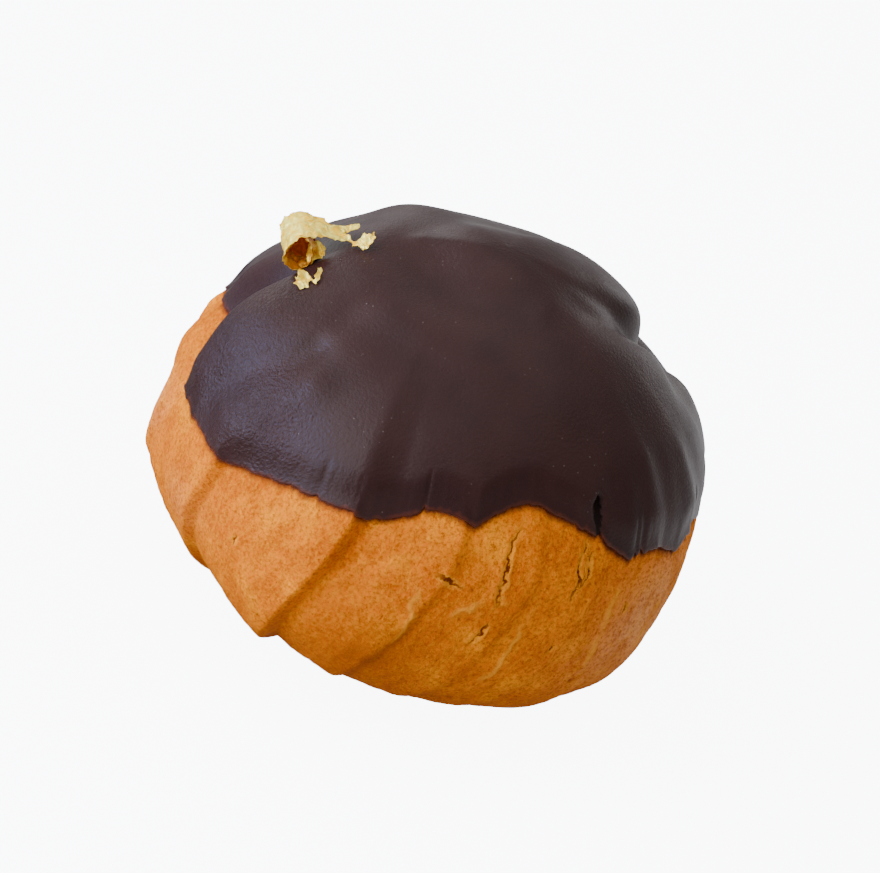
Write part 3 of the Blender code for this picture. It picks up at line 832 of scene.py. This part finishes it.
def tempered_dark_chocolate():
    """Dark couverture, dipped and set. The eye sees a nearly black brown with a soft satin
    shine, which is matt in the fold on the left and breaks up into grain on the sides, a few
    dusty specks, a redder edge where the film is thin, and painted shade inside a slit."""
    material, tree, shader = new_material(
        "tempered_dark_chocolate", {"IOR": 1.46, "Specular IOR Level": 0.20})
    spot = add(tree, "ShaderNodeTexCoord").outputs["Object"]
    from_edge, slit, matt, grainy = [
        add(tree, "ShaderNodeAttribute", {"attribute_name": name}).outputs["Fac"]
        for name in ("from_edge", "slit", "matt", "grainy")]

    # Each noise has this size in millimetres, detail and roughness
    clouds, uneven, torn, dull, grain = [
        add(tree, "ShaderNodeTexNoise",
            {"Scale": per_mm(1 / size), "Detail": detail, "Roughness": roughness},
            {"Vector": spot}).outputs["Fac"]
        for size, detail, roughness in (
            (7.0, 3.0, 0.5), (0.9, 2.0, 0.5), (0.7, 3.0, 0.5), (4.0, 3.0, 0.5),
            (0.34, 2.0, 0.75))]
    specks = add(tree, "ShaderNodeTexVoronoi", {"Scale": per_mm(1 / 0.9)},
                 {"Vector": spot}).outputs["Distance"]
    film, slit = [
        add(tree, "ShaderNodeMath", {"operation": "SUBTRACT"}, {0: value, 1: noise}).outputs[0]
        for value, noise in ((from_edge, uneven), (slit, torn))]
    film, slit, specks, dusty, rough, grainy = [
        add(tree, "ShaderNodeMapRange", {1: low, 2: high, 3: first, 4: last},
            {"Value": source}).outputs[0]
        for source, low, high, first, last in (
            (film, -0.30, 0.15, 0.85, 0.0), (slit, -0.1, 0.25, 0.0, 1.0),
            (specks, 0.12, 0.05, 0.0, 1.0), (clouds, 0.50, 0.62, 0.0, 0.7),
            (dull, 0.3, 0.7, 0.27, 0.38), (grainy, 0.0, 1.0, 0.18, 1.0))]
    specks = add(tree, "ShaderNodeMath", {"operation": "MULTIPLY"},
                 {0: specks, 1: dusty}).outputs[0]

    brown = add(tree, "ShaderNodeValToRGB", {"stops": (
        (0.35, "#2c1715"), (0.65, "#321b18"))}, {"Fac": clouds}).outputs["Color"]
    # The slit's near-black is painted shade inside it
    for share, shade in ((film, "#4e2418"), (specks, "#5f5650"), (slit, "#160a08")):
        brown = add(tree, "ShaderNodeMix", {"data_type": "RGBA", 7: colour(shade)},
                    {0: share, 6: brown}).outputs[2]
    tree.links.new(brown, shader.inputs["Base Color"])
    for share, roughness in ((matt, 0.85), (slit, 1.0)):
        rough = add(tree, "ShaderNodeMix", {"data_type": "FLOAT", 3: roughness},
                    {0: share, 2: rough}).outputs[0]
    tree.links.new(rough, shader.inputs["Roughness"])

    grain = add(tree, "ShaderNodeMath", {"operation": "MULTIPLY"},
                {0: grain, 1: grainy}).outputs[0]
    bump = add(tree, "ShaderNodeBump", {"Strength": 1.0, "Distance": 0.28 * METRES_PER_MM},
               {"Height": grain})
    tree.links.new(bump.outputs["Normal"], shader.inputs["Normal"])
    return material


def beaten_gold_leaf():
    """Beaten gold leaf. The eye sees pale bright gold, finely creased. Where it is curled,
    painted shade and a painted reflection of the gold on itself turn it deep amber. It is so
    thin and crumpled that it looks only partly metallic."""
    material, tree, shader = new_material(
        "beaten_gold_leaf", {"Metallic": 0.35, "Roughness": 0.26, "Specular IOR Level": 0.2})
    spot = add(tree, "ShaderNodeTexCoord").outputs["Object"]
    clouds = add(tree, "ShaderNodeTexNoise", {"Scale": per_mm(1 / 0.9), "Detail": 3.0},
                 {"Vector": spot}).outputs["Fac"]
    gold = add(tree, "ShaderNodeValToRGB", {"stops": (
        (0.35, "#ffc61c"), (0.65, "#ffec6c"))}, {"Fac": clouds}).outputs["Color"]
    # Painted shade and painted reflection turn the curl deep amber
    inside = add(tree, "ShaderNodeAttribute", {"attribute_name": "inside_curl"}).outputs["Fac"]
    gold = add(tree, "ShaderNodeMix", {"data_type": "RGBA", 7: colour("#c86408")},
               {0: inside, 6: gold}).outputs[2]
    tree.links.new(gold, shader.inputs["Base Color"])
    creases = add(tree, "ShaderNodeTexNoise", {"Scale": per_mm(1 / 0.35), "Detail": 3.0,
                                               "Roughness": 0.7}, {"Vector": spot}).outputs["Fac"]
    bump = add(tree, "ShaderNodeBump", {"Strength": 0.7, "Distance": 0.10 * METRES_PER_MM},
               {"Height": creases})
    tree.links.new(bump.outputs["Normal"], shader.inputs["Normal"])
    return material


def matt_white_paper():
    """Seamless studio paper. The eye sees an even, shadowless white with a faint tooth."""
    material, tree, shader = new_material(
        "matt_white_paper", {"Roughness": 0.95, "Specular IOR Level": 0.1,
                             "Emission Color": colour("#f7f9ff"), "Emission Strength": PAPER_GLOW})
    spot = add(tree, "ShaderNodeTexCoord").outputs["Object"]
    tooth = add(tree, "ShaderNodeTexNoise", {"Scale": per_mm(1 / 90.0), "Detail": 2.0},
                {"Vector": spot}).outputs["Fac"]
    white = add(tree, "ShaderNodeValToRGB", {"stops": (
        (0.3, "#f3f4f7"), (0.7, "#f7f8fa"))}, {"Fac": tooth}).outputs["Color"]
    tree.links.new(white, shader.inputs["Base Color"])
    return material


# ---------------------------------------------------------------- the set

CAMERA_HEIGHT_ANGLE = 30.0
CAMERA_ROLL = 20.0
CAMERA_DISTANCE = 500.0
AIM = Vector((0.0, 0.0, 22.0))
FRAME_PIXELS = 880
PIXELS_PER_MM = 9.66  # at the puff
SENSOR_WIDTH = 36.0
PAPER_GLOW = 9.0
PAPER_SIZE = 2.0  # half its side, in metres

# How bright the room is by direction: from where to where it changes, and from what to what
WALLS = (-0.5, 0.7, 0.40, 0.55)
BELOW_HORIZON = (0.05, -0.25, 0.0, 1.0)
FLOOR = (-0.7, 0.5, 0.2, 0.95)

# Each light's name, the direction it stands in, its distance, width and height, its watts
# and its colour
LIGHTS = (
    ("window", (-0.89, -0.415, 0.22), 700.0, (1090.0, 1000.0), 15.6, "#f6f8ff"),
    ("left_pane", (-0.99, -0.10, 0.20), 650.0, (95.0, 330.0), 3.0, "#6c98ff"),
    ("right_pane", (-0.85, -0.49, 0.12), 650.0, (80.0, 250.0), 1.7, "#6c98ff"),
    ("overhead", (-0.06, -0.10, 0.99), 800.0, (1500.0, 1500.0), 6.6, "#ffffff"),
    ("back_wall", (-0.46, 0.87, 0.19), 900.0, (460.0, 240.0), 0.5, "#ffffff"),
    ("far_corner", (-0.64, 0.77, 0.10), 900.0, (200.0, 200.0), 0.5, "#ffffff"),
    ("high_pane", (-0.68, 0.48, 0.56), 800.0, (220.0, 110.0), 0.45, "#ffffff"),
    ("doorway", (0.46, 0.87, 0.17), 900.0, (350.0, 300.0), 0.45, "#ffffff"),
)


def camera_directions():
    """The camera's right, up and forward, rolled as the puff is tipped in the photograph."""
    tilt, roll = math.radians(CAMERA_HEIGHT_ANGLE), math.radians(CAMERA_ROLL)
    forward = Vector((0.0, math.cos(tilt), -math.sin(tilt)))
    level_up = Vector((0.0, math.sin(tilt), math.cos(tilt)))
    level_right = Vector((1.0, 0.0, 0.0))
    right = level_right * math.cos(roll) + level_up * math.sin(roll)
    up = level_up * math.cos(roll) - level_right * math.sin(roll)
    return right, up, forward


def make_camera():
    right, up, forward = camera_directions()
    data = bpy.data.cameras.new("camera")
    data.sensor_width = SENSOR_WIDTH
    data.lens = PIXELS_PER_MM * CAMERA_DISTANCE * SENSOR_WIDTH / FRAME_PIXELS
    camera = bpy.data.objects.new("camera", data)
    turn = Matrix((right, up, -forward)).transposed().to_4x4()
    turn.translation = (AIM - forward * CAMERA_DISTANCE) * METRES_PER_MM
    camera.matrix_world = turn
    bpy.context.scene.collection.objects.link(camera)
    bpy.context.scene.camera = camera


def make_light(name, direction, distance, size, watts, shade):
    """A flat soft light that faces the puff."""
    data = bpy.data.lights.new(name, "AREA")
    data.shape = "RECTANGLE"
    data.size, data.size_y = (side * METRES_PER_MM for side in size)
    data.energy = watts
    data.color = colour(shade)[:3]
    light = bpy.data.objects.new(name, data)
    towards = Vector(direction).normalized()
    light.location = (AIM + towards * distance) * METRES_PER_MM
    light.rotation_euler = towards.to_track_quat("Z", "Y").to_euler()
    bpy.context.scene.collection.objects.link(light)


def make_room():
    """Soft light from all round: a pale wall behind, a dim room in front, and the floor."""
    world = bpy.data.worlds.new("studio")
    world.use_nodes = True
    tree = world.node_tree
    direction = add(tree, "ShaderNodeTexCoord").outputs["Generated"]
    direction = add(tree, "ShaderNodeSeparateXYZ", links={0: direction})
    walls, below, floor = [
        add(tree, "ShaderNodeMapRange",
            {"interpolation_type": "SMOOTHSTEP", 1: low, 2: high, 3: first, 4: last},
            {"Value": direction.outputs[axis]}).outputs[0]
        for axis, (low, high, first, last) in (("Y", WALLS), ("Z", BELOW_HORIZON), ("X", FLOOR))]
    strength = add(tree, "ShaderNodeMix", {"data_type": "FLOAT"},
                   {0: below, 2: walls, 3: floor}).outputs[0]
    background = tree.nodes["Background"]
    background.inputs["Color"].default_value = colour("#fdfcff")
    tree.links.new(strength, background.inputs["Strength"])
    bpy.context.scene.world = world


def make_paper():
    """The pale floor, which the camera sees but which throws no light back at the puff."""
    shape = bmesh.new()
    bmesh.ops.create_grid(shape, x_segments=2, y_segments=2, size=PAPER_SIZE)
    mesh = bpy.data.meshes.new("paper")
    shape.to_mesh(mesh)
    shape.free()
    mesh.materials.append(matt_white_paper())
    paper = bpy.data.objects.new("paper", mesh)
    paper.visible_diffuse = False
    paper.visible_glossy = False
    bpy.context.scene.collection.objects.link(paper)


make_camera()
make_room()
for light in LIGHTS:
    make_light(*light)
make_paper()
make_crust()
make_coating()
make_leaf("gold_leaf_flake", "gold_leaf",
          (leaf_strip(FLAKE, 150, 34, 0.45, 1.0, curled=0.6),
           leaf_strip(ROLL_BACK, 24, 30, 0.35, 21.0, inside=1.0),
           leaf_strip(WALL, 26, 20, 0.40, 41.0), leaf_strip(PRONG, 24, 10, 0.35, 31.0)))
make_leaf("gold_leaf_bit", "gold_leaf_fragment", (leaf_strip(BITS, 50, 16, 0.40, 61.0),))
